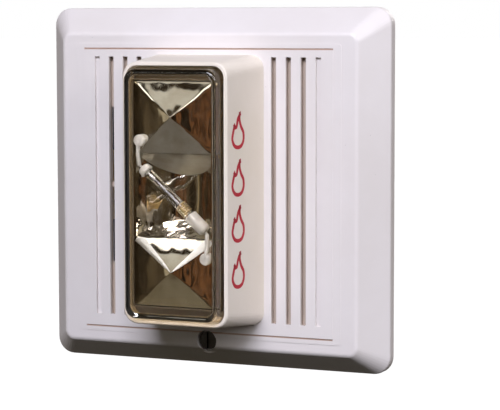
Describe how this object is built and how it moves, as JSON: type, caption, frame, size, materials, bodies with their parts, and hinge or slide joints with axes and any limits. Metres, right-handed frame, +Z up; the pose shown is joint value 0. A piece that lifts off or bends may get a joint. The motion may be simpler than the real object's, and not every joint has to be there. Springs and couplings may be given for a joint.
{
  "type": "horn strobe",
  "caption": "Wall-mounted horn strobe: square bevelled cover with a slotted grille, a tall clear-lensed lamp housing, and a tilting front on a slotted steel plate.",
  "frame": {"origin": "centre of the single-gang screw pattern, in the mounting plate's back face, which lies on the wall", "axes": "+X to the viewer's right, +Y into the wall, +Z up; the front faces -Y"},
  "size_m": [0.127, 0.0559, 0.124],
  "materials": {
    "zinc_steel": "zinc-plated sheet, satin",
    "cover_plastic": "white moulded plastic, fine satin",
    "housing_plastic": "white moulded plastic, fine satin",
    "lens_clear": "clear polycarbonate, polished",
    "gasket_rubber": "matte",
    "mirror_coat": "vacuum-metallised plastic",
    "shroud_plastic": "dark brown, satin",
    "tube_glass": "drawn glass, clear",
    "silicone_white": "matte silicone",
    "trigger_wire": "bright drawn wire",
    "lead_metal": "tinned",
    "sleeve_white": "matte",
    "frame_plastic": "grey, satin",
    "screw_zinc": "zinc-plated",
    "horn_plastic": "black, satin",
    "foam_black": "closed-cell foam",
    "brass_sheet": "rolled",
    "ceramic": "silvered ceramic",
    "wire_red": "PVC",
    "rear_plastic": "black, fine texture",
    "board_green": "solder mask",
    "capacitor_sleeve": "shrink sleeve",
    "ferrite": "sintered",
    "winding_tape": "polyester tape",
    "coil_black": "potted",
    "chip_black": "moulded epoxy",
    "resistor_body": "lacquered",
    "terminal_plastic": "green, satin",
    "contact_metal": "stamped",
    "terminal_screw_steel": "nickel-plated",
    "switch_black": "satin",
    "slider_white": "satin",
    "switch_red": "satin",
    "black_oxide": "black oxide, oiled",
    "clip_steel": "spring steel"
  },
  "bodies": {
    "wall_plate": {"mounting_plate": "zinc_steel"},
    "front_assembly": {"front_cover": "cover_plastic", "lens_housing": "housing_plastic", "lens": "lens_clear", "lens_gasket": "gasket_rubber", "reflector": "mirror_coat", "reflector_shroud": "shroud_plastic", "flash_tube": "tube_glass", "tube_cap_upper": "silicone_white", "tube_cap_lower": "silicone_white", "trigger_band": "trigger_wire", "tube_leads": "lead_metal", "lead_sleeves": "sleeve_white", "housing_frame": "frame_plastic", "housing_screws": "screw_zinc", "reflector_screws": "screw_zinc", "horn_chamber": "horn_plastic", "horn_gasket": "foam_black", "piezo_disc": "brass_sheet", "piezo_ceramic": "ceramic", "horn_cap": "horn_plastic", "piezo_leads": "wire_red", "rear_housing": "rear_plastic", "rear_housing_screws": "screw_zinc", "circuit_board": "board_green", "board_screws": "screw_zinc", "flash_capacitor": "capacitor_sleeve", "transformer_core": "ferrite", "transformer_winding": "winding_tape", "trigger_coil": "coil_black", "control_chip": "chip_black", "power_transistor": "chip_black", "small_resistors": "resistor_body", "terminal_block": "terminal_plastic", "terminal_contacts": "contact_metal", "candela_switch": "switch_black", "mode_switch": "switch_red"},
    "screw_retainer": {"screw_retainer": "clip_steel"},
    "captive_screw": {"captive_screw": "black_oxide"},
    "candela_slider": {"candela_slider": "slider_white"},
    "tone_slider": {"tone_slider": "slider_white"},
    "volume_slider": {"volume_slider": "slider_white"},
    "terminal_clamp_1": {"terminal_clamp_1": "screw_zinc"},
    "terminal_clamp_2": {"terminal_clamp_2": "screw_zinc"},
    "terminal_clamp_3": {"terminal_clamp_3": "screw_zinc"},
    "terminal_clamp_4": {"terminal_clamp_4": "screw_zinc"},
    "terminal_screw_1": {"terminal_screw_1": "terminal_screw_steel"},
    "terminal_screw_2": {"terminal_screw_2": "terminal_screw_steel"},
    "terminal_screw_3": {"terminal_screw_3": "terminal_screw_steel"},
    "terminal_screw_4": {"terminal_screw_4": "terminal_screw_steel"}
  },
  "joints": [
    {"name": "front_tilt", "type": "hinge", "parent": "wall_plate", "child": "front_assembly", "pos_m": [0, -0.0026, 0.057], "axis": [-1, 0, 0], "range_deg": [0, 8]},
    {"name": "captive_screw_travel", "type": "slide", "parent": "front_assembly", "child": "screw_retainer", "axis": [0, -1, 0], "range_m": [0, 0.004]},
    {"name": "captive_screw_turn", "type": "hinge", "parent": "screw_retainer", "child": "captive_screw", "pos_m": [0, -0.008, -0.0526], "axis": [0, -1, 0], "range_deg": [0, 2400]},
    {"name": "candela_select", "type": "slide", "parent": "front_assembly", "child": "candela_slider", "axis": [1, 0, 0], "range_m": [0, 0.006]},
    {"name": "tone_select", "type": "slide", "parent": "front_assembly", "child": "tone_slider", "axis": [0, 0, 1], "range_m": [0, 0.0028]},
    {"name": "volume_select", "type": "slide", "parent": "front_assembly", "child": "volume_slider", "axis": [0, 0, 1], "range_m": [0, 0.0028]},
    {"name": "terminal_clamp_lift_1", "type": "slide", "parent": "front_assembly", "child": "terminal_clamp_1", "axis": [0, 1, 0], "range_m": [0, 0.0029]},
    {"name": "terminal_screw_turn_1", "type": "hinge", "parent": "terminal_clamp_1", "child": "terminal_screw_1", "pos_m": [-0.0135, 0.006, -0.0173], "axis": [0, 1, 0], "range_deg": [0, 1500]},
    {"name": "terminal_clamp_lift_2", "type": "slide", "parent": "front_assembly", "child": "terminal_clamp_2", "axis": [0, 1, 0], "range_m": [0, 0.0029]},
    {"name": "terminal_screw_turn_2", "type": "hinge", "parent": "terminal_clamp_2", "child": "terminal_screw_2", "pos_m": [-0.0045, 0.006, -0.0173], "axis": [0, 1, 0], "range_deg": [0, 1500]},
    {"name": "terminal_clamp_lift_3", "type": "slide", "parent": "front_assembly", "child": "terminal_clamp_3", "axis": [0, 1, 0], "range_m": [0, 0.0029]},
    {"name": "terminal_screw_turn_3", "type": "hinge", "parent": "terminal_clamp_3", "child": "terminal_screw_3", "pos_m": [0.0045, 0.006, -0.0173], "axis": [0, 1, 0], "range_deg": [0, 1500]},
    {"name": "terminal_clamp_lift_4", "type": "slide", "parent": "front_assembly", "child": "terminal_clamp_4", "axis": [0, 1, 0], "range_m": [0, 0.0029]},
    {"name": "terminal_screw_turn_4", "type": "hinge", "parent": "terminal_clamp_4", "child": "terminal_screw_4", "pos_m": [0.0135, 0.006, -0.0173], "axis": [0, 1, 0], "range_deg": [0, 1500]}
  ],
  "couplings": [
    {"joint": "captive_screw_turn", "follows": "captive_screw_travel", "rad_per_m": 10472},
    {"joint": "terminal_screw_turn_1", "follows": "terminal_clamp_lift_1", "rad_per_m": 8975.9},
    {"joint": "terminal_screw_turn_2", "follows": "terminal_clamp_lift_2", "rad_per_m": 8975.9},
    {"joint": "terminal_screw_turn_3", "follows": "terminal_clamp_lift_3", "rad_per_m": 8975.9},
    {"joint": "terminal_screw_turn_4", "follows": "terminal_clamp_lift_4", "rad_per_m": 8975.9}
  ]
}
